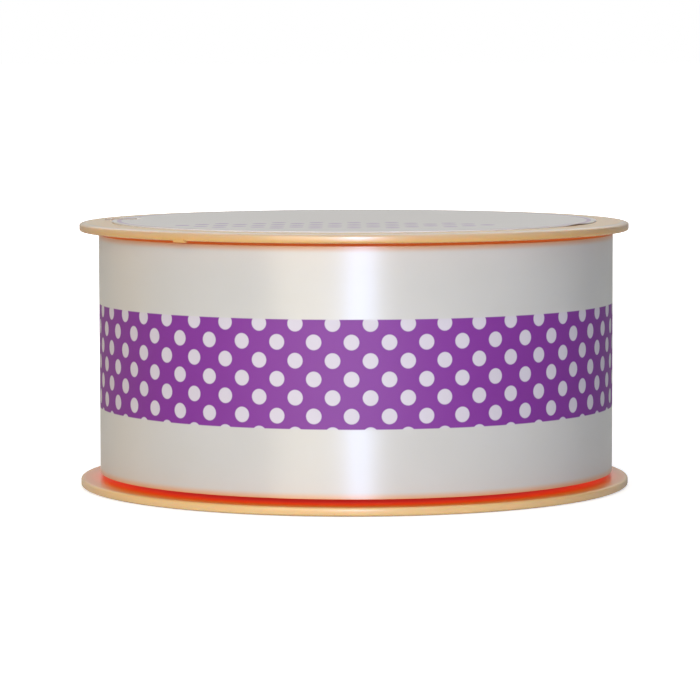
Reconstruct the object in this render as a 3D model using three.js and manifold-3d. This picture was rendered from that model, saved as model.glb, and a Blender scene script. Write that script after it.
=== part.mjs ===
// Spool of wide ribbon: two moulded plastic flanges, each with half of the barrel,
// the wound ribbon between them, and a round paper label on the upper flange.
// Millimetres, +Z up. The origin is on the spool's axis, at its underside.

import * as THREE from 'three';
import { mergeVertices } from 'three/addons/utils/BufferGeometryUtils.js';
import Module from 'manifold-3d';

const wasm = await Module();
wasm.setup();

// Driving dimensions
const RIBBON_WIDTH = 38;        // ribbon of 1 1/2 inch
const FLANGE_RADIUS = 44;
const FLANGE_THICKNESS = 1.4;
const LOWER_SLACK = 0.95;       // from the lower flange to the ribbon's edge
const UPPER_SLACK = 0.55;       // from the ribbon's edge to the upper flange
const ROLL_RADIUS = 41.2;       // outside of the wound ribbon
const LAST_TURN_STEP = 0.3;     // height of the step where the last turn ends
const CLEARANCE = 0.3;          // between pieces that don't touch

// Rounding of the moulded rim: half axes of a quarter ellipse
const OUTER_ROUND = { radial: 1.1, axial: 0.4 };
const INNER_ROUND = { radial: 0.4, axial: 0.35 };

// Barrel that carries the ribbon, and the peg that joins its halves
const BARREL_RADIUS = 20;
const PEG_RADIUS = 4;
const PEG_LENGTH = 5;

// Slit in the upper flange for the ribbon's loose end, with a raised lip behind it
const SLIT = { x: -37.8, y: 4.8, length: 5.2, width: 1.0 };
const LIP = { width: 1.0, height: 0.4 };

// Mark left by the moulding gate, at the foot of the upper rim
const GATE_MARK = { angle: -127, width: 2.1, drop: 0.4, depth: 0.8, proud: 0.15 };

// Paper label, cut away round the slit
const LABEL_RADIUS = 38.8;
const LABEL_THICKNESS = 0.3;
const LABEL_NOTCH = 0.7;

const QUARTER_STEPS = 4;        // steps in each rounded edge of a flange
const TURN_STEPS = 96;          // steps in a full circle

// Heights that follow from the dimensions above
const ROLL_BOTTOM = FLANGE_THICKNESS + LOWER_SLACK;
const ROLL_TOP = ROLL_BOTTOM + RIBBON_WIDTH;
const UPPER_UNDERSIDE = ROLL_TOP + UPPER_SLACK;
const SPOOL_TOP = UPPER_UNDERSIDE + FLANGE_THICKNESS;
const BARREL_JOINT = SPOOL_TOP / 2;

// A geometry's position attribute alone, with shared points merged
function closedGeometry(geometry) {
  const bare = geometry.index ? geometry.toNonIndexed() : geometry.clone();
  bare.deleteAttribute('normal');
  bare.deleteAttribute('uv');
  return mergeVertices(bare, 1e-4);
}

function toManifold(geometry) {
  const closed = closedGeometry(geometry);
  const mesh = new wasm.Mesh({
    numProp: 3,
    vertProperties: new Float32Array(closed.attributes.position.array),
    triVerts: new Uint32Array(closed.index.array),
  });
  return new wasm.Manifold(mesh);
}

function fromManifold(solid) {
  const mesh = solid.getMesh();
  const geometry = new THREE.BufferGeometry();
  geometry.setAttribute('position', new THREE.BufferAttribute(mesh.vertProperties, 3));
  geometry.setIndex(new THREE.BufferAttribute(mesh.triVerts, 1));
  return geometry;
}

// Solid turned about +Z from [radius, height] points that start and end on the axis,
// listed from the underside outwards and up
function turned(profile) {
  const points = profile.map(([radius, height]) => new THREE.Vector2(radius, height));
  const geometry = new THREE.LatheGeometry(points, TURN_STEPS);
  geometry.rotateX(Math.PI / 2);
  return geometry;
}

// Flat outline raised from one height to another
function raised(shape, bottom, top) {
  const geometry = new THREE.ExtrudeGeometry(shape, {
    depth: top - bottom,
    bevelEnabled: false,
    curveSegments: TURN_STEPS,
  });
  geometry.translate(0, 0, bottom);
  return geometry;
}

function block(x, y, bottom, size) {
  const geometry = new THREE.BoxGeometry(size.x, size.y, size.z);
  geometry.translate(x, y, bottom + size.z / 2);
  return geometry;
}

// Quarter ellipse at the rim, from the flat face (start) to the upright side
function rimRound(faceHeight, side, round) {
  const points = [];
  for (let i = 0; i <= QUARTER_STEPS; i += 1) {
    const turn = (i / QUARTER_STEPS) * (Math.PI / 2);
    const radius = FLANGE_RADIUS - round.radial * (1 - Math.sin(turn));
    const height = faceHeight + side * round.axial * (1 - Math.cos(turn));
    points.push([radius, height]);
  }
  return points;
}

// Lower moulding: flange, barrel half and the socket for the peg
function lowerFlange() {
  const socketFloor = BARREL_JOINT - PEG_LENGTH - CLEARANCE;
  const profile = [
    [0, 0],
    ...rimRound(0, 1, OUTER_ROUND),
    ...rimRound(FLANGE_THICKNESS, -1, INNER_ROUND).reverse(),
    [BARREL_RADIUS, FLANGE_THICKNESS],
    [BARREL_RADIUS, BARREL_JOINT],
    [PEG_RADIUS + CLEARANCE, BARREL_JOINT],
    [PEG_RADIUS + CLEARANCE, socketFloor],
    [0, socketFloor],
  ];
  return closedGeometry(turned(profile));
}

// Upper moulding: flange, barrel half and peg, with the slit and its lip
function upperFlange() {
  const barrelEnd = BARREL_JOINT + CLEARANCE;
  const profile = [
    [0, BARREL_JOINT - PEG_LENGTH],
    [PEG_RADIUS, BARREL_JOINT - PEG_LENGTH],
    [PEG_RADIUS, barrelEnd],
    [BARREL_RADIUS, barrelEnd],
    [BARREL_RADIUS, UPPER_UNDERSIDE],
    ...rimRound(UPPER_UNDERSIDE, 1, INNER_ROUND),
    ...rimRound(SPOOL_TOP, -1, OUTER_ROUND).reverse(),
    [0, SPOOL_TOP],
  ];
  return fromManifold(
    toManifold(turned(profile)).add(slitLip()).add(gateMark()).subtract(slitCut()),
  );
}

function slitCut() {
  const size = { x: SLIT.length, y: SLIT.width, z: FLANGE_THICKNESS + 2 * CLEARANCE };
  return toManifold(block(SLIT.x, SLIT.y, UPPER_UNDERSIDE - CLEARANCE, size));
}

function slitLip() {
  const size = { x: SLIT.length, y: LIP.width, z: FLANGE_THICKNESS / 2 + LIP.height };
  const lipY = SLIT.y + (SLIT.width + LIP.width) / 2;
  return toManifold(block(SLIT.x, lipY, SPOOL_TOP - FLANGE_THICKNESS / 2, size));
}

function gateMark() {
  const size = { x: GATE_MARK.depth + GATE_MARK.proud, y: GATE_MARK.width, z: 1.5 * GATE_MARK.drop };
  const geometry = block(0, 0, UPPER_UNDERSIDE - GATE_MARK.drop / 2, size);
  geometry.translate(FLANGE_RADIUS - size.x / 2 + GATE_MARK.proud, 0, 0);
  geometry.rotateZ(THREE.MathUtils.degToRad(GATE_MARK.angle));
  return toManifold(geometry);
}

// Wound ribbon: its outside is one turn of a spiral, so that the last turn ends in a
// small step at the back; the bore clears the barrel
function ribbonRoll() {
  const outline = new THREE.Shape();
  const backAngle = Math.PI / 2;
  for (let i = 0; i <= TURN_STEPS; i += 1) {
    const share = i / TURN_STEPS;
    const angle = backAngle + share * 2 * Math.PI;
    const radius = ROLL_RADIUS + LAST_TURN_STEP * (share - 0.5);
    const x = radius * Math.cos(angle);
    const y = radius * Math.sin(angle);
    if (i === 0) {
      outline.moveTo(x, y);
    } else {
      outline.lineTo(x, y);
    }
  }
  const bore = new THREE.Path();
  bore.absarc(0, 0, BARREL_RADIUS + CLEARANCE, 0, 2 * Math.PI);
  outline.holes.push(bore);
  return closedGeometry(raised(outline, ROLL_BOTTOM, ROLL_TOP));
}

// Round paper label, lying on the upper flange
function topLabel() {
  const disc = turned([
    [0, SPOOL_TOP],
    [LABEL_RADIUS, SPOOL_TOP],
    [LABEL_RADIUS, SPOOL_TOP + LABEL_THICKNESS],
    [0, SPOOL_TOP + LABEL_THICKNESS],
  ]);
  const size = {
    x: SLIT.length + 2 * LABEL_NOTCH,
    y: SLIT.width + LIP.width + 2 * LABEL_NOTCH,
    z: 2 * LABEL_THICKNESS + 2 * CLEARANCE,
  };
  const notch = block(SLIT.x, SLIT.y + LIP.width / 2, SPOOL_TOP - CLEARANCE, size);
  return fromManifold(toManifold(disc).subtract(toManifold(notch)));
}

function piece(name, geometry, look) {
  const mesh = new THREE.Mesh(geometry, new THREE.MeshStandardMaterial(look));
  mesh.name = name;
  return mesh;
}

const PLASTIC = { color: 0xe8b878, roughness: 0.3, metalness: 0 };

const spool = new THREE.Group();
spool.add(piece('lower_flange', lowerFlange(), PLASTIC));
spool.add(piece('upper_flange', upperFlange(), PLASTIC));
spool.add(piece('ribbon_roll', ribbonRoll(), { color: 0xe6e2dc, roughness: 0.35, metalness: 0 }));
spool.add(piece('top_label', topLabel(), { color: 0xd2cfcb, roughness: 0.6, metalness: 0 }));

export default spool;
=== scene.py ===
import math

import bmesh
import bpy
from mathutils import Matrix, Vector


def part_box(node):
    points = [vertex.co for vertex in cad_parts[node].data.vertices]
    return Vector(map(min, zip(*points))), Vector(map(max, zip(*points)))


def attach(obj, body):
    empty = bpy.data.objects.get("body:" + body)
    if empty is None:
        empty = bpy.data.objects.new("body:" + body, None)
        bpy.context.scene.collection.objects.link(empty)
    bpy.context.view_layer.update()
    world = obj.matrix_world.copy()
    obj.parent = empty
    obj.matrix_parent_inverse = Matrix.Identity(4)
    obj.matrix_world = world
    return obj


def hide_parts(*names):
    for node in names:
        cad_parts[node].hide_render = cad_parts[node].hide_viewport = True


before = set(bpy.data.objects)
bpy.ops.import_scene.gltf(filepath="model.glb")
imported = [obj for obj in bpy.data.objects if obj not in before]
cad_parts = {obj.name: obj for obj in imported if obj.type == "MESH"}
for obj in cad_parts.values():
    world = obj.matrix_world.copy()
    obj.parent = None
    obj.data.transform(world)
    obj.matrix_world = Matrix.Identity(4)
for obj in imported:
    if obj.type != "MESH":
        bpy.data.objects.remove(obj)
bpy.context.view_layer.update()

# Wound ribbon
# White pearlised polypropylene film, 38 mm wide, printed with a violet band of white
# dots and wound under light tension on the barrel of the spool. The last turn ends at
# the back, where its cut end lies on the turn below.

MM = 0.001
SHARP_ANGLE = math.radians(30)
ROLL_RADIUS = 41.2 * MM
ROLL_BORE = 20.3 * MM
ROLL_SHIFT = 0.22 * MM          # the roll sits a little to one side of the flanges
FILM = 0.15 * MM                # the step where the last turn ends
LAST_END = math.pi / 2          # where that is, at the back
SLOW_WAVE = 0.035 * MM          # slack of the last turn, which is never quite round
QUICK_WAVE = 0.02 * MM
RIDGE_PITCH = 0.55 * MM         # ridges of the wound faces, drawn coarser than the film is
RIDGE_DEPTH = 0.12 * MM         # thin so that they show
RIDGED_WIDTH = 8 * MM           # they go in as far as the flanges let them be seen
TURN_STEPS = 360
HEIGHT_STEPS = 12
MAP_UNIT = 0.1                  # metres for each unit of the film's UV map
roll_low, roll_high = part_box("ribbon_roll")


def add(material, kind, inputs=(), **settings):
    """Adds a shader node. Inputs are values to set, or nodes or sockets to link."""
    made = material.node_tree.nodes.new("ShaderNode" + kind)
    for name, value in settings.items():
        setattr(made, name, value)
    for key, value in inputs.items() if isinstance(inputs, dict) else enumerate(inputs):
        if isinstance(value, bpy.types.Node):
            value = value.outputs[0]
        if isinstance(value, bpy.types.NodeSocket):
            material.node_tree.links.new(value, made.inputs[key])
        else:
            made.inputs[key].default_value = value
    return made


def linear(hex_colour):
    """An sRGB hex colour as linear RGBA."""
    shares = [int(hex_colour[i:i + 2], 16) / 255 for i in (0, 2, 4)]
    return [s / 12.92 if s <= 0.04045 else ((s + 0.055) / 1.055) ** 2.4 for s in shares] + [1.0]


def new_material(name):
    """A material with no nodes yet."""
    material = bpy.data.materials.new(name)
    material.use_nodes = True
    material.node_tree.nodes.clear()
    return material


def add_object(name, mesh, material):
    """Puts a mesh in the scene, smooth but for its corners."""
    mesh.materials.append(material)
    mesh.shade_smooth()
    mesh.set_sharp_from_angle(angle=SHARP_ANGLE)
    made = bpy.data.objects.new(name, mesh)
    bpy.context.scene.collection.objects.link(made)
    return made


def last_turn_point(angle, turned, height_share):
    """A point of the last turn, which ends a film's thickness further out than it starts."""
    slack = SLOW_WAVE * math.sin(5 * angle + 1.3)
    slack += QUICK_WAVE * math.sin(11 * angle + 4 * height_share)
    radius = ROLL_RADIUS + FILM * (turned - 0.5) + slack
    z = roll_low.z + (roll_high.z - roll_low.z) * height_share
    return Vector((ROLL_SHIFT + radius * math.cos(angle), radius * math.sin(angle), z))


def wound_ribbon_mesh():
    """The wall of the last turn, the two ridged wound faces, the bore and the cut end. The
    map runs along the film and up it."""
    mesh = bpy.data.meshes.new("ribbon")
    bm = bmesh.new()
    uv = bm.loops.layers.uv.new("film")
    angles = [LAST_END + 2 * math.pi * i / TURN_STEPS for i in range(TURN_STEPS + 1)]
    columns = [[bm.verts.new(last_turn_point(angle, i / TURN_STEPS, h / HEIGHT_STEPS))
                for h in range(HEIGHT_STEPS + 1)]
               for i, angle in enumerate(angles)]

    walls = set()
    for i in range(TURN_STEPS):
        for h in range(HEIGHT_STEPS):
            corners = ((i, h), (i + 1, h), (i + 1, h + 1), (i, h + 1))
            wall = bm.faces.new([columns[column][step] for column, step in corners])
            walls.add(wall)
            for loop, (column, step) in zip(wall.loops, corners):
                along = (column / TURN_STEPS - 0.5) * 2 * math.pi * ROLL_RADIUS
                loop[uv].uv = (along / MAP_UNIT, columns[column][step].co.z / MAP_UNIT)

    ridge_edges = 2 * round(RIDGED_WIDTH / RIDGE_PITCH)
    radii = [ROLL_RADIUS - i * RIDGE_PITCH / 2 for i in range(1, ridge_edges + 1)] + [ROLL_BORE]
    bore_rings = []
    for step, face_z, inward in ((0, roll_low.z, 1), (HEIGHT_STEPS, roll_high.z, -1)):
        outer = [column[step] for column in columns]
        for k, radius in enumerate(radii):
            in_groove = k % 2 == 0 and radius != ROLL_BORE
            z = face_z + inward * RIDGE_DEPTH if in_groove else face_z
            ring = [bm.verts.new((ROLL_SHIFT + radius * math.cos(angle),
                                  radius * math.sin(angle), z)) for angle in angles[:-1]]
            ring.append(ring[0])
            for i in range(TURN_STEPS):
                bm.faces.new((outer[i], ring[i], ring[i + 1], outer[i + 1]))
            if k == 0:
                bm.faces.new((outer[TURN_STEPS], outer[0], ring[0]))
            outer = ring
        bore_rings.append(outer)

    low, high = bore_rings
    for i in range(TURN_STEPS):
        bm.faces.new((low[i], high[i], high[i + 1], low[i + 1]))
    start, end = columns[0], columns[TURN_STEPS]
    for h in range(HEIGHT_STEPS):
        bm.faces.new((end[h], start[h], start[h + 1], end[h + 1]))
    for face in bm.faces:
        if face not in walls:
            for loop in face.loops:
                loop[uv].uv = (-math.pi * ROLL_RADIUS / MAP_UNIT, loop.vert.co.z / MAP_UNIT)
    bmesh.ops.recalc_face_normals(bm, faces=bm.faces)
    bm.to_mesh(mesh)
    bm.free()
    return mesh


def ribbon_film_material():
    """Pearlised polypropylene film: milky white, with a satin gloss that the stretched film
    draws out into an upright streak. The violet and white ink is flat and kills the gloss."""
    film = new_material("pearlised_polypropylene_film")
    band_low, band_high = 12.85 * MM, 29.38 * MM
    dot_pitch, row_pitch, dot_radius = 5.7 * MM, 2.784 * MM, 1.175 * MM
    first_dot, first_row = 5.07 * MM, 20.4 * MM
    ink_blur = 0.08 * MM
    half_width = (roll_high.z - roll_low.z) / 2
    # where the painted amber bounce light along the film's edges starts and where it is full
    amber_start, amber_full = half_width - 1.1 * MM, half_width + 0.1 * MM
    bare_roughness, ink_roughness = 0.41, 0.92

    place = add(film, "UVMap", uv_map="film")
    metres = add(film, "VectorMath", [place, (MAP_UNIT, MAP_UNIT, MAP_UNIT)],
                 operation="MULTIPLY")
    axes = add(film, "SeparateXYZ", [metres])
    along, height = axes.outputs[0], axes.outputs[1]

    # rows of dots, every other row shifted by half a pitch
    row_place = add(film, "Math", [height, first_row], operation="SUBTRACT")
    row_turns = add(film, "Math", [row_place, row_pitch], operation="DIVIDE")
    row = add(film, "Math", [row_turns], operation="ROUND")
    row_off = add(film, "Math", [row_turns, row], operation="SUBTRACT")
    row_metres = add(film, "Math", [row_off, row_pitch], operation="MULTIPLY")
    row_shift = add(film, "Math", [row, 0.5], operation="MULTIPLY")
    along_dot = add(film, "Math", [along, first_dot], operation="SUBTRACT")
    along_turns = add(film, "Math", [along_dot, dot_pitch], operation="DIVIDE")
    along_shift = add(film, "Math", [along_turns, row_shift], operation="SUBTRACT")
    nearest = add(film, "Math", [along_shift], operation="ROUND")
    along_off = add(film, "Math", [along_shift, nearest], operation="SUBTRACT")
    along_metres = add(film, "Math", [along_off, dot_pitch], operation="MULTIPLY")
    from_dot = add(film, "CombineXYZ", [along_metres, row_metres, 0.0])
    distance = add(film, "VectorMath", [from_dot], operation="LENGTH").outputs["Value"]
    off_dot = add(film, "MapRange", [distance, dot_radius - ink_blur, dot_radius + ink_blur],
                  interpolation_type="SMOOTHSTEP")

    above = add(film, "MapRange", [height, band_low - ink_blur, band_low + ink_blur],
                interpolation_type="SMOOTHSTEP")
    below = add(film, "MapRange", [height, band_high + ink_blur, band_high - ink_blur],
                interpolation_type="SMOOTHSTEP")
    band = add(film, "Math", [above, below], operation="MULTIPLY")
    violet_print = add(film, "Math", [band, off_dot], operation="MULTIPLY")

    # faint lengthwise drawing lines of the film, about 0.4 mm apart, and slow mottling
    stretched = add(film, "VectorMath", [metres, (12.0, 2500.0, 1.0)], operation="MULTIPLY")
    lines = add(film, "TexNoise", {"Vector": stretched, "Scale": 1.0, "Detail": 3.0})
    cloudy = add(film, "VectorMath", [metres, (90.0, 140.0, 1.0)], operation="MULTIPLY")
    mottle = add(film, "TexNoise", {"Vector": cloudy, "Scale": 1.0, "Detail": 2.0})

    bare = add(film, "MixRGB", [mottle, linear("CDCCC3"), linear("D1D0C9")])
    # painted light: amber bounce light from the flanges, painted into the film's colour along
    # its two edges
    from_middle = add(film, "Math", [height, (roll_low.z + roll_high.z) / 2],
                      operation="SUBTRACT")
    from_middle = add(film, "Math", [from_middle], operation="ABSOLUTE")
    painted_bounce_share = add(film, "MapRange", [from_middle, amber_start, amber_full, 0.0, 0.9],
                      interpolation_type="SMOOTHSTEP")
    bounce_painted = add(film, "MixRGB", [painted_bounce_share, bare, linear("DEA266")])
    white_ink = add(film, "MixRGB", [band, bounce_painted, linear("D3CDD3")])
    violet_ink = add(film, "MixRGB", [mottle, linear("7D268F"), linear("812994")])
    colour = add(film, "MixRGB", [violet_print, white_ink, violet_ink])

    gloss = add(film, "MapRange", [band, 0.0, 1.0, bare_roughness, ink_roughness])
    around = add(film, "Tangent", direction_type="RADIAL", axis="Z")
    bump = add(film, "Bump", {"Strength": 0.10, "Distance": 0.03 * MM, "Height": lines})
    shader = add(film, "BsdfPrincipled", {
        "Base Color": colour, "Roughness": gloss, "IOR": 1.6, "Normal": bump,
        "Tangent": around, "Specular IOR Level": 1.0,
        "Anisotropic": 0.9, "Anisotropic Rotation": 0.25,
    })
    add(film, "OutputMaterial", [shader])
    return film


ribbon = add_object("ribbon", wound_ribbon_mesh(), ribbon_film_material())
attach(ribbon, "root")
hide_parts("ribbon_roll")

# Spool flanges
# Two injection mouldings of pale amber translucent polystyrene, each a thin round flange
# with a soft outer edge and half of the barrel, pushed together inside the roll. The
# upper one has a slit with a raised lip that grips the ribbon's loose end.

SPOOL_TOP = 42.3 * MM
FLANGE_RADIUS = 44 * MM
FLANGE_THICKNESS = 1.4 * MM
OUTER_ROUND = (1.1 * MM, 0.4 * MM)      # of the flange's edge, along the radius and the axis
INNER_ROUND = (0.4 * MM, 0.35 * MM)
OUTER_FLAT, INNER_FLAT = 34 * MM, 36 * MM
BARREL_RADIUS = 20 * MM
BARREL_CORNER = 0.4 * MM
BARREL_GAP = 0.3 * MM                   # between the two halves of the barrel
FLANGE_STEPS = 288
ROUND_STEPS = 8
SLIT_CENTRE = Vector((-37.8 * MM, 4.8 * MM, SPOOL_TOP))
SLIT_SIZE = Vector((5.2 * MM, 1.0 * MM, 4 * MM))
LIP_CENTRE = SLIT_CENTRE + Vector((0, 0.9 * MM, -0.12 * MM))
LIP_SIZE = Vector((5.2 * MM, 0.8 * MM, 0.6 * MM))
GATE_CENTRE = Vector((43.62 * MM, 0, SPOOL_TOP - FLANGE_THICKNESS + 0.02 * MM))
GATE_SIZE = Vector((0.90 * MM, 2.0 * MM, 0.5 * MM))
GATE_TURN = math.radians(-127)          # the mark is on the rim at the left of the front
barrel_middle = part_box("lower_flange")[1].z


def turned_mesh(name, profile, steps):
    """A closed solid turned about +Z from (radius, height) points that start and end on
    the axis."""
    bm = bmesh.new()
    poles = [bm.verts.new((0, 0, profile[0][1])), bm.verts.new((0, 0, profile[-1][1]))]
    rings = []
    for radius, height in profile[1:-1]:
        rings.append([bm.verts.new((radius * math.cos(2 * math.pi * i / steps),
                                    radius * math.sin(2 * math.pi * i / steps), height))
                      for i in range(steps)])
    for i in range(steps):
        j = (i + 1) % steps
        bm.faces.new((poles[0], rings[0][j], rings[0][i]))
        bm.faces.new((poles[1], rings[-1][i], rings[-1][j]))
        for a, b in zip(rings, rings[1:]):
            bm.faces.new((a[i], a[j], b[j], b[i]))
    mesh = bpy.data.meshes.new(name)
    bmesh.ops.recalc_face_normals(bm, faces=bm.faces)
    bm.to_mesh(mesh)
    bm.free()
    return mesh


def rounded_rim(face, side, size):
    """Quarter ellipse from a flat face of the flange to its upright edge."""
    radial, axial = size
    points = []
    for i in range(ROUND_STEPS + 1):
        turn = i / ROUND_STEPS * math.pi / 2
        points.append((FLANGE_RADIUS - radial * (1 - math.sin(turn)),
                       face + side * axial * (1 - math.cos(turn))))
    return points


def flange_profile(outer_face, inner_face, barrel_end):
    """The flange's outer face, its rim, its inner face and then the barrel, to the axis."""
    side = 1 if inner_face > outer_face else -1
    return ([(0, outer_face), (OUTER_FLAT, outer_face)]
            + rounded_rim(outer_face, side, OUTER_ROUND)
            + rounded_rim(inner_face, -side, INNER_ROUND)[::-1]
            + [(INNER_FLAT, inner_face), (BARREL_RADIUS + BARREL_CORNER, inner_face),
               (BARREL_RADIUS, inner_face + side * BARREL_CORNER),
               (BARREL_RADIUS, barrel_end), (0, barrel_end)])


def box_mesh(centre, size, turn=0.0):
    """A box, turned about the spool's axis once it is at its centre."""
    bm = bmesh.new()
    bmesh.ops.create_cube(bm, size=1.0)
    placed = Matrix.Translation(centre) @ Matrix.Diagonal((*size, 1.0))
    bmesh.ops.transform(bm, matrix=Matrix.Rotation(turn, 4, "Z") @ placed, verts=bm.verts)
    mesh = bpy.data.meshes.new("tool")
    bm.to_mesh(mesh)
    bm.free()
    return mesh


def combine(piece, tool_mesh, operation):
    """Joins the tool to the piece or cuts it away, and applies the result."""
    tool = bpy.data.objects.new("tool", tool_mesh)
    bpy.context.scene.collection.objects.link(tool)
    modifier = piece.modifiers.new("tool", "BOOLEAN")
    modifier.operation = operation
    modifier.object = tool
    modifier.solver = "EXACT"
    depsgraph = bpy.context.evaluated_depsgraph_get()
    result = bpy.data.meshes.new_from_object(piece.evaluated_get(depsgraph))
    piece.modifiers.clear()
    piece.data = result
    bpy.data.objects.remove(tool)


def spool_plastic_material():
    """Translucent amber polystyrene with a moulded gloss: the thin rim looks peach. Under the
    roll its colour deepens to orange, then red, and it glows: painted light and a painted glow
    that stand in for light carried on through the plastic into the shade under the roll."""
    plastic = new_material("translucent_amber_polystyrene")
    slit_middle, slit_reach = (-37.8 * MM, 5.2 * MM, 0.0), (2.75 * MM, 1.0 * MM, 1.0)
    # body colours darken from peach at the rim to red under the roll as painted shade and
    # painted light; the glow tones are a painted glow
    painted_body_tones = ((0.0, "E4C086"), (0.015, "E0AA60"), (0.045, "E49440"), (0.16, "E48426"),
                  (0.215, "E0701E"), (0.28, "DE621E"), (0.34, "DC521E"), (0.40, "D83C1C"),
                  (0.50, "D02C16"), (1.0, "B0200F"))
    glow_tones = ((0.0, "2A1E10"), (0.09, "401C06"), (0.16, "6E2004"), (0.215, "962004"),
                  (0.28, "A22812"), (0.34, "9C2A1C"), (0.40, "902620"), (0.475, "8A1C1A"),
                  (0.57, "8A1F12"), (1.0, "7C1E12"))

    place = add(plastic, "NewGeometry").outputs["Position"]
    axes = add(plastic, "SeparateXYZ", [place])
    flat = add(plastic, "CombineXYZ", [axes.outputs[0], axes.outputs[1], 0.0])
    radius = add(plastic, "VectorMath", [flat], operation="LENGTH").outputs["Value"]
    from_middle = add(plastic, "Math", [axes.outputs[2], SPOOL_TOP / 2], operation="SUBTRACT")
    level = add(plastic, "Math", [from_middle], operation="ABSOLUTE")
    upper = add(plastic, "Math", [axes.outputs[2], SPOOL_TOP / 2], operation="GREATER_THAN")

    # how deep the painted red and the painted glow go: in from the rim, and on the side towards
    # the roll
    towards_roll = add(plastic, "MapRange", [level, 20.9 * MM, 19.8 * MM])
    depth = add(plastic, "MapRange", [radius, 43.95 * MM, 27.0 * MM])
    painted_light_depth = add(plastic, "Math", [towards_roll, depth], operation="MULTIPLY")
    body = add(plastic, "ValToRGB", [painted_light_depth])
    glow = add(plastic, "ValToRGB", [painted_light_depth])
    for ramp, tones in ((body, painted_body_tones), (glow, glow_tones)):
        stops = ramp.color_ramp.elements
        stops[0].color = linear(tones[0][1])
        stops[1].color = linear(tones[-1][1])
        for share, tone in tones[1:-1]:
            stops.new(share).color = linear(tone)

    # the upper flange's painted glow starts further in and is a weaker orange
    upper_start = add(plastic, "MapRange", [painted_light_depth, 0.12, 0.235])
    upper_glow = add(plastic, "MixRGB", [upper_start, linear("2A1E10"), linear("A8661C")])
    glow_colour = add(plastic, "MixRGB", [upper, glow, upper_glow])

    # painted shade and painted reflection on the upper flange's rim: a darker mustard than the
    # lower rim, turning pale grey towards its satin top corner as a painted reflection of the
    # dim backdrop
    rim_height = add(plastic, "MapRange", [axes.outputs[2], 41.2 * MM, 42.3 * MM])
    rim_painted_shade_and_reflection = add(plastic, "MixRGB", [rim_height, linear("D9AC66"), linear("CDB79A")])
    on_rim = add(plastic, "MapRange", [radius, 42.6 * MM, 43.2 * MM])
    on_rim = add(plastic, "Math", [upper, on_rim], operation="MULTIPLY")
    outside_painted_light = add(plastic, "MapRange", [painted_light_depth, 0.04, 0.2, 1.0, 0.0])
    on_rim = add(plastic, "Math", [on_rim, outside_painted_light], operation="MULTIPLY")
    rim_painted = add(plastic, "MixRGB", [on_rim, body, rim_painted_shade_and_reflection])

    # painted shade: the walls of the slit and its lip are painted browner, for the shade inside
    # the slit
    from_slit = add(plastic, "VectorMath", [flat, slit_middle], operation="SUBTRACT")
    slit_share = add(plastic, "VectorMath", [from_slit, slit_reach], operation="DIVIDE")
    slit_share = add(plastic, "VectorMath", [slit_share], operation="ABSOLUTE")
    slit_axes = add(plastic, "SeparateXYZ", [slit_share])
    slit_out = add(plastic, "Math", [slit_axes.outputs[0], slit_axes.outputs[1]],
                   operation="MAXIMUM")
    slit_shade_mask = add(plastic, "MapRange", [slit_out, 1.0, 0.95])
    slit_shade_mask = add(plastic, "Math", [slit_shade_mask, upper], operation="MULTIPLY")
    colour = add(plastic, "MixRGB", [slit_shade_mask, rim_painted, linear("9C8A6C")])

    # flow marks of the moulding, a few millimetres across
    flow = add(plastic, "TexNoise", {"Vector": place, "Scale": 160.0, "Detail": 3.0})
    bump = add(plastic, "Bump", {"Strength": 0.12, "Distance": 0.1 * MM, "Height": flow})
    shader = add(plastic, "BsdfPrincipled", {
        "Base Color": colour, "Roughness": 0.27, "IOR": 1.59, "Normal": bump,
        "Subsurface Weight": 0.5, "Subsurface Radius": (1.0, 0.5, 0.25),
        "Subsurface Scale": 1.2 * MM,
        "Coat Weight": 0.35, "Coat IOR": 1.5, "Coat Roughness": 0.38,
        "Emission Color": glow_colour, "Emission Strength": 1.0,
    })
    add(plastic, "OutputMaterial", [shader])
    return plastic


spool_plastic = spool_plastic_material()
lower_profile = flange_profile(0.0, FLANGE_THICKNESS, barrel_middle)
lower_flange = add_object("lower_moulding",
                          turned_mesh("lower_moulding", lower_profile, FLANGE_STEPS),
                          spool_plastic)
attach(lower_flange, "root")
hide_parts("lower_flange")

upper_profile = flange_profile(SPOOL_TOP, SPOOL_TOP - FLANGE_THICKNESS,
                               barrel_middle + BARREL_GAP)
upper_flange = add_object("upper_moulding",
                          turned_mesh("upper_moulding", upper_profile, FLANGE_STEPS),
                          spool_plastic)
combine(upper_flange, box_mesh(LIP_CENTRE, LIP_SIZE), "UNION")
combine(upper_flange, box_mesh(GATE_CENTRE, GATE_SIZE, GATE_TURN), "UNION")
combine(upper_flange, box_mesh(SLIT_CENTRE, SLIT_SIZE), "DIFFERENCE")
upper_flange.data.set_sharp_from_angle(angle=SHARP_ANGLE)
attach(upper_flange, "root")
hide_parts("upper_flange")

# Top label
# A round die-cut label of coated paper, stuck on the upper flange and cut away round the
# slit. It has a thin violet border and a plain patch of pale lilac dots, and its edge has
# lifted a little at the right.

LABEL_RADIUS = 38.8 * MM
LABEL_THICKNESS = 0.14 * MM
GLUE = 0.01 * MM
LIFT_START = 33 * MM            # the radius from which the paper bends up
LIFT_HEIGHT = 0.17 * MM
LIFT_MIDDLE, LIFT_SPREAD = -26, 5       # degrees round the label
NOTCH_CENTRE = SLIT_CENTRE + Vector((0, 0.5 * MM, 0))
NOTCH_SIZE = Vector((6.6 * MM, 3.4 * MM, 2 * MM))
LABEL_STEPS = 240


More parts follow.
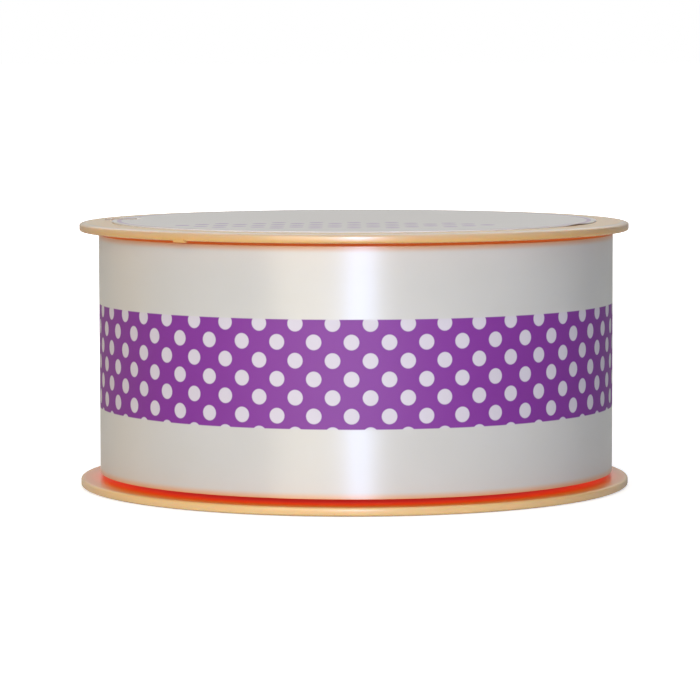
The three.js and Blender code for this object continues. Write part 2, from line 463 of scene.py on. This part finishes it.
def label_mesh():
    """The label's disc, whose edge lifts for about 12 mm at the right of the front."""
    base = SPOOL_TOP + GLUE
    top = base + LABEL_THICKNESS
    radii = [20 * MM, 30 * MM, 34 * MM, 35.5 * MM, 37 * MM, 38 * MM, LABEL_RADIUS]
    profile = ([(0, base)] + [(radius, base) for radius in radii]
               + [(radius, top) for radius in radii[::-1]] + [(0, top)])
    mesh = turned_mesh("label", profile, LABEL_STEPS)
    for vertex in mesh.vertices:
        radius = vertex.co.xy.length
        across = max(0.0, (radius - LIFT_START) / (LABEL_RADIUS - LIFT_START))
        azimuth = math.degrees(math.atan2(vertex.co.y, vertex.co.x))
        nearness = math.exp(-((azimuth - LIFT_MIDDLE) / LIFT_SPREAD) ** 2)
        vertex.co.z += LIFT_HEIGHT * across ** 3 * nearness
    return mesh


def label_paper_material():
    """Coated paper: soft white and slightly glossy, with a pale violet ring and a patch of
    lilac dots printed near the front."""
    paper = new_material("coated_label_paper")
    ring_low, ring_high, ink_edge = 37.3 * MM, 38.0 * MM, 0.06 * MM
    dot_pitch, dot_radius, dot_turn = 4.2 * MM, 1.15 * MM, math.radians(45)
    patch_middle, patch_reach = (-4 * MM, -18 * MM, 0), (26 * MM, 10 * MM, 1.0)

    place = add(paper, "NewGeometry")
    flat = add(paper, "VectorMath", [place.outputs["Position"], (1, 1, 0)],
               operation="MULTIPLY")
    radius = add(paper, "VectorMath", [flat], operation="LENGTH").outputs["Value"]
    ring_in = add(paper, "MapRange", [radius, ring_low - ink_edge, ring_low + ink_edge])
    ring_out = add(paper, "MapRange", [radius, ring_high + ink_edge, ring_high - ink_edge])
    ring = add(paper, "Math", [ring_in, ring_out], operation="MULTIPLY")

    # dots in slanted rows; a dot is printed whole if its middle lies in the patch's ellipse
    turned = add(paper, "VectorRotate", {"Vector": flat, "Angle": dot_turn},
                 rotation_type="Z_AXIS")
    cell = add(paper, "VectorMath", [turned, (dot_pitch, dot_pitch, 1.0)], operation="DIVIDE")
    cell_corner = add(paper, "VectorMath", [cell], operation="FLOOR")
    cell_middle = add(paper, "VectorMath", [cell_corner, (0.5, 0.5, 0.0)], operation="ADD")
    from_dot = add(paper, "VectorMath", [cell, cell_middle], operation="SUBTRACT")
    dot_share = add(paper, "VectorMath", [from_dot], operation="LENGTH").outputs["Value"]
    middle = add(paper, "VectorMath", [cell_middle, (dot_pitch, dot_pitch, 0.0)],
                 operation="MULTIPLY")
    dot_place = add(paper, "VectorRotate", {"Vector": middle, "Angle": -dot_turn},
                    rotation_type="Z_AXIS")
    from_patch = add(paper, "VectorMath", [dot_place, patch_middle], operation="SUBTRACT")
    patch_share = add(paper, "VectorMath", [from_patch, patch_reach], operation="DIVIDE")
    patch_out = add(paper, "VectorMath", [patch_share], operation="LENGTH").outputs["Value"]
    dot_size = add(paper, "MapRange", [patch_out, 1.0, 0.99, -0.1, dot_radius / dot_pitch])
    inside_dot = add(paper, "Math", [dot_size, dot_share], operation="SUBTRACT")
    dots = add(paper, "MapRange", [inside_dot, -ink_edge / dot_pitch, ink_edge / dot_pitch])

    # clumps of paper fibres, drawn coarser than fibres are because those would not show
    fibres = add(paper, "TexNoise", {"Vector": flat, "Scale": 900.0, "Detail": 4.0})
    ground = add(paper, "MixRGB", [fibres, linear("E2E1DF"), linear("E8E6E5")])
    ringed = add(paper, "MixRGB", [ring, ground, linear("CFC0D3")])
    colour = add(paper, "MixRGB", [dots, ringed, linear("C6B6D1")])
    bump = add(paper, "Bump", {"Strength": 0.15, "Distance": 0.04 * MM, "Height": fibres})
    shader = add(paper, "BsdfPrincipled", {
        "Base Color": colour, "Roughness": 0.55, "IOR": 1.5, "Specular IOR Level": 0.2,
        "Normal": bump,
    })
    add(paper, "OutputMaterial", [shader])
    return paper


label = add_object("label", label_mesh(), label_paper_material())
combine(label, box_mesh(NOTCH_CENTRE, NOTCH_SIZE), "DIFFERENCE")
label.data.set_sharp_from_angle(angle=SHARP_ANGLE)
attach(label, "root")
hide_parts("top_label")

# Studio
# A pale floor under plain soft light: a tall narrow light beside the lens that gives the
# upright streak on the film, a broad one to the left of it, a warm one low at the left,
# one overhead, and two behind that light the label and the floor's far end.

FLOOR_REACH = 30.0
FLOOR_DROP = 0.02 * MM          # keeps the floor clear of the spool's underside


def white_card_material():
    """Matte white card, which fades to the white of the background a little way off."""
    card = new_material("white_card")
    fade_start, fade_full = 0.05, 0.4
    ray = add(card, "LightPath")
    place = add(card, "NewGeometry")
    distance = add(card, "VectorMath", [place.outputs["Position"]],
                   operation="LENGTH").outputs["Value"]
    fade = add(card, "MapRange", [distance, fade_start, fade_full, 0.62, 1.2])
    lift = add(card, "Math", [ray.outputs["Is Camera Ray"], fade], operation="MULTIPLY")
    shader = add(card, "BsdfPrincipled", {
        "Base Color": linear("E2E2E2"), "Roughness": 0.8, "Specular IOR Level": 0.1,
        "Emission Color": (1, 1, 1, 1), "Emission Strength": lift,
    })
    add(card, "OutputMaterial", [shader])
    return card


def floor_mesh():
    """A flat square just under the spool."""
    bm = bmesh.new()
    bmesh.ops.create_grid(bm, x_segments=4, y_segments=4, size=FLOOR_REACH)
    bmesh.ops.translate(bm, vec=(0, 0, -FLOOR_DROP), verts=bm.verts)
    mesh = bpy.data.meshes.new("floor")
    bm.to_mesh(mesh)
    bm.free()
    return mesh


def soft_light(name, place, width, height, watts, colour=(1, 1, 1)):
    """A rectangular light that faces the middle of the spool and isn't seen itself."""
    data = bpy.data.lights.new(name, "AREA")
    data.shape = "RECTANGLE"
    data.size = width
    data.size_y = height
    data.energy = watts
    data.color = colour
    lamp = bpy.data.objects.new(name, data)
    bpy.context.scene.collection.objects.link(lamp)
    lamp.location = place
    lamp.visible_camera = False
    towards_spool = Vector((0, 0, 0.021)) - Vector(place)
    lamp.rotation_euler = towards_spool.to_track_quat("-Z", "Y").to_euler()


floor = add_object("floor", floor_mesh(), white_card_material())

soft_light("strip", (0.022, -0.9, 0.12), 0.15, 0.36, 4.6, (0.43, 0.57, 1.0))
soft_light("broad", (-0.22, -1.0, 0.30), 0.9, 0.7, 8.25, (1.0, 0.88, 0.635))
soft_light("left", (-0.87, 0.5, 0.35), 0.6, 0.6, 0.92, (1.0, 0.62, 0.28))
soft_light("overhead", (0, -0.15, 1.3), 1.2, 1.2, 5.0)
soft_light("back_fill", (0.0, 1.15, 1.0), 1.4, 1.2, 6.2, (0.95, 0.98, 1.0))
soft_light("backdrop", (0, 1.6, 0.5), 3.2, 1.0, 4.4, (0.95, 0.98, 1.0))

# the background is white to the lens, and gives the spool a little even light
world = bpy.data.worlds.new("studio")
bpy.context.scene.world = world
world.use_nodes = True
background = world.node_tree.nodes["Background"]
background.inputs["Color"].default_value = (1, 1, 1, 1)
world_ray = world.node_tree.nodes.new("ShaderNodeLightPath")
world_level = world.node_tree.nodes.new("ShaderNodeMapRange")
world_level.inputs["To Min"].default_value = 0.045
world_level.inputs["To Max"].default_value = 1.0
world.node_tree.links.new(world_ray.outputs["Is Camera Ray"], world_level.inputs["Value"])
world.node_tree.links.new(world_level.outputs[0], background.inputs["Strength"])
bpy.context.scene.view_settings.view_transform = "Standard"

# Camera
# A long lens a little above the spool and straight in front of it, looking slightly down
# and turned by a tenth of a degree, as in the photo.

CAMERA_DISTANCE = 0.5762
CAMERA_HEIGHT = 0.0686
LENS = 184.61                   # mm, on a sensor of 36 mm
PITCH = math.radians(4.674)
YAW = math.radians(-0.068)
ROLL = math.radians(-0.111)

camera_data = bpy.data.cameras.new("camera")
camera_data.lens = LENS
camera_data.sensor_width = 36
camera = bpy.data.objects.new("camera", camera_data)
bpy.context.scene.collection.objects.link(camera)
bpy.context.scene.camera = camera
forward = Vector((math.sin(YAW) * math.cos(PITCH), math.cos(YAW) * math.cos(PITCH),
                  -math.sin(PITCH)))
level = Vector((math.cos(YAW), -math.sin(YAW), 0))
upright = level.cross(forward)
right = level * math.cos(ROLL) + upright * math.sin(ROLL)
up = upright * math.cos(ROLL) - level * math.sin(ROLL)
turn = Matrix((right, up, -forward)).transposed().to_4x4()
camera.matrix_world = Matrix.Translation((0, -CAMERA_DISTANCE, CAMERA_HEIGHT)) @ turn
